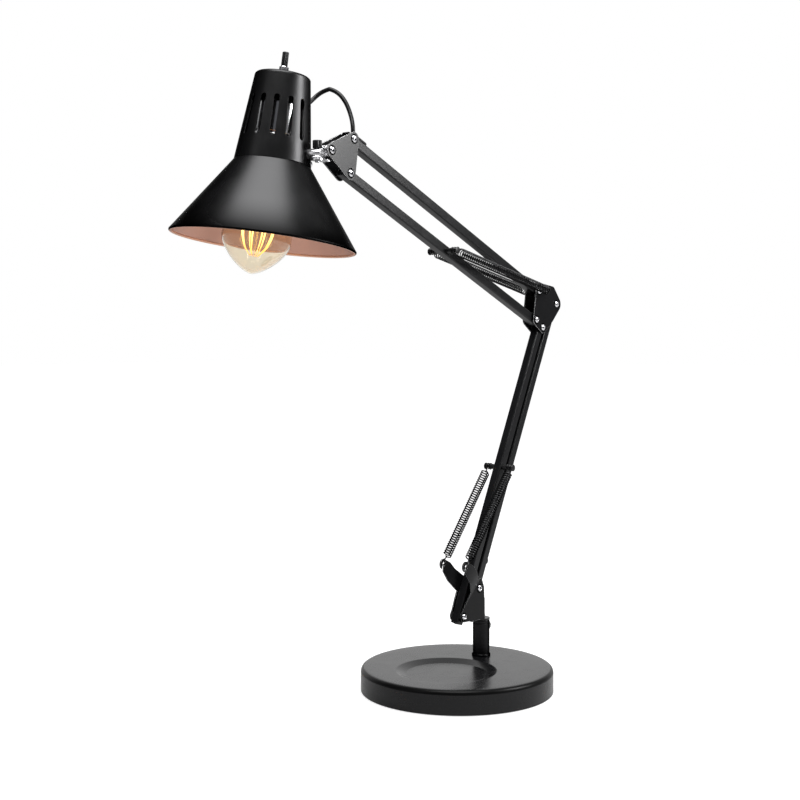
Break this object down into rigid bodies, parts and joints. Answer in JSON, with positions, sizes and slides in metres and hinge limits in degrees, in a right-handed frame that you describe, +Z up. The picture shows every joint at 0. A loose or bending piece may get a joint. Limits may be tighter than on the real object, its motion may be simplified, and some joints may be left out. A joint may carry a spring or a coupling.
{
  "type": "desk lamp",
  "caption": "Black spring-balanced swing-arm desk lamp with a round weighted base, parallel-bar arms and a cone shade on a tilting, swivelling head.",
  "frame": {"origin": "centre of the round base on the table", "axes": "+Z up, the arm swings in a plane parallel to XZ with the head on the -X side"},
  "size_m": [0.4799, 0.2286, 0.5987],
  "materials": {
    "satin_black": "satin black powder coat",
    "shade_paint": "satin black outside, copper pink inside",
    "bar_paint": "semi-gloss black",
    "black_plastic": "moulded black",
    "black_rubber": "soft black",
    "cord_sheath": "smooth black sheath",
    "spring_wire": "black oxide wire",
    "chrome": "bright plate",
    "zinc": "zinc plate",
    "iron": "raw casting",
    "holder_shell": "bright metal holder shell",
    "brass": "plain",
    "cap_metal": "pale gold bulb cap",
    "amber_glass": "clear amber glass",
    "clear_glass": "clear glass stem and wires",
    "filament": "glowing filament"
  },
  "bodies": {
    "base": {"foot_pad": "black_rubber", "bottom_plate": "zinc", "bottom_screws": "zinc", "ballast": "iron", "base_cover": "satin_black", "post": "bar_paint", "post_nut": "zinc"},
    "clamp": {"clamp_screw": "zinc", "clamp_knob": "black_plastic"},
    "bracket": {"bracket_block": "satin_black", "bracket_plate_near": "satin_black", "bracket_plate_far": "satin_black", "bracket_rivets": "chrome", "lower_spring_near": "spring_wire", "lower_spring_far": "spring_wire"},
    "lower_front": {"lower_front_bar": "bar_paint", "lower_front_bushes": "black_plastic", "lower_spring_pin": "black_plastic"},
    "lower_rear": {"lower_rear_bar": "bar_paint", "lower_rear_bushes": "black_plastic", "lead_grommet": "black_rubber"},
    "elbow": {"elbow_plate_near": "satin_black", "elbow_plate_far": "satin_black", "elbow_rivets": "chrome", "upper_spring_near": "spring_wire", "upper_spring_far": "spring_wire"},
    "upper_low": {"upper_low_bar": "bar_paint", "upper_low_bushes": "black_plastic", "upper_spring_pin": "black_plastic"},
    "upper_top": {"upper_top_bar": "bar_paint", "upper_top_bushes": "black_plastic", "cord_grommet": "black_rubber", "head_cord_bar": "cord_sheath"},
    "head_bracket": {"head_plate_near": "satin_black", "head_plate_far": "satin_black", "head_rivets": "chrome"},
    "knuckle": {"knuckle_strap": "chrome", "tilt_washers": "chrome", "head_cord_mid": "cord_sheath"},
    "swivel_clamp": {"swivel_screw": "zinc", "swivel_knob": "black_plastic"},
    "shade": {"head_stem": "chrome", "stem_nut": "zinc", "shade_cone": "shade_paint", "shade_neck": "satin_black", "neck_screws": "chrome", "switch_housing": "black_plastic", "switch_nut": "chrome", "lamp_holder": "holder_shell", "thread_shell": "brass", "centre_contact": "brass", "bulb_cap": "cap_metal", "bulb_glass": "amber_glass", "bulb_mount": "clear_glass", "bulb_filaments": "filament", "neck_gland": "black_rubber", "head_cord_shade": "cord_sheath"},
    "switch": {"switch_knob": "black_plastic"}
  },
  "joints": [
    {"name": "clamp_turn", "type": "hinge", "parent": "base", "child": "clamp", "pos_m": [0.05001, 0.00703, 0.0526], "axis": [0.9397, 0.342, 0], "continuous": true},
    {"name": "post_swivel", "type": "hinge", "parent": "base", "child": "bracket", "pos_m": [0.05001, 0.00703, 0.061], "axis": [0, 0, 1], "continuous": true},
    {"name": "lower_arm", "type": "hinge", "parent": "bracket", "child": "lower_front", "pos_m": [0.01181, 0.00703, 0.0702], "axis": [0, 1, 0], "range_deg": [-70, 4], "deforming": ["lower_spring_near", "lower_spring_far"]},
    {"name": "lower_rear_link", "type": "hinge", "parent": "bracket", "child": "lower_rear", "pos_m": [0.03781, 0.00703, 0.0952], "axis": [0, 1, 0], "range_deg": [-70, 4]},
    {"name": "elbow_link", "type": "hinge", "parent": "lower_front", "child": "elbow", "pos_m": [0.15108, 0.00703, 0.3583], "axis": [0, 1, 0], "range_deg": [-4, 70]},
    {"name": "upper_arm", "type": "hinge", "parent": "elbow", "child": "upper_top", "pos_m": [0.14398, 0.00703, 0.3969], "axis": [0, 1, 0], "range_deg": [-55, 40], "deforming": ["upper_spring_near", "upper_spring_far"]},
    {"name": "upper_low_link", "type": "hinge", "parent": "elbow", "child": "upper_low", "pos_m": [0.13928, 0.00703, 0.3664], "axis": [0, 1, 0], "range_deg": [-55, 40]},
    {"name": "head_link", "type": "hinge", "parent": "upper_top", "child": "head_bracket", "pos_m": [-0.1497, 0.00703, 0.52399], "axis": [0, 1, 0], "range_deg": [-40, 55], "deforming": ["head_cord_bar"]},
    {"name": "head_tilt", "type": "hinge", "parent": "head_bracket", "child": "knuckle", "pos_m": [-0.1786, 0.00703, 0.51119], "axis": [0, 1, 0], "range_deg": [-20, 60], "deforming": ["head_cord_mid"]},
    {"name": "swivel_clamp_turn", "type": "hinge", "parent": "knuckle", "child": "swivel_clamp", "pos_m": [-0.1901, 0.00703, 0.50759], "axis": [0, 0, 1], "continuous": true},
    {"name": "head_swivel", "type": "hinge", "parent": "knuckle", "child": "shade", "pos_m": [-0.1901, 0.00703, 0.50759], "axis": [0, 0, 1], "range_deg": [-15, 130], "deforming": ["head_cord_shade"]},
    {"name": "switch_turn", "type": "hinge", "parent": "shade", "child": "switch", "pos_m": [-0.19483, 0.04194, 0.58531], "axis": [0.1167, -0.0603, 0.9913], "continuous": true}
  ],
  "couplings": [
    {"joint": "lower_rear_link", "follows": "lower_arm", "ratio": 1},
    {"joint": "elbow_link", "follows": "lower_arm", "ratio": -1},
    {"joint": "upper_low_link", "follows": "upper_arm", "ratio": 1},
    {"joint": "head_link", "follows": "upper_arm", "ratio": -1}
  ]
}
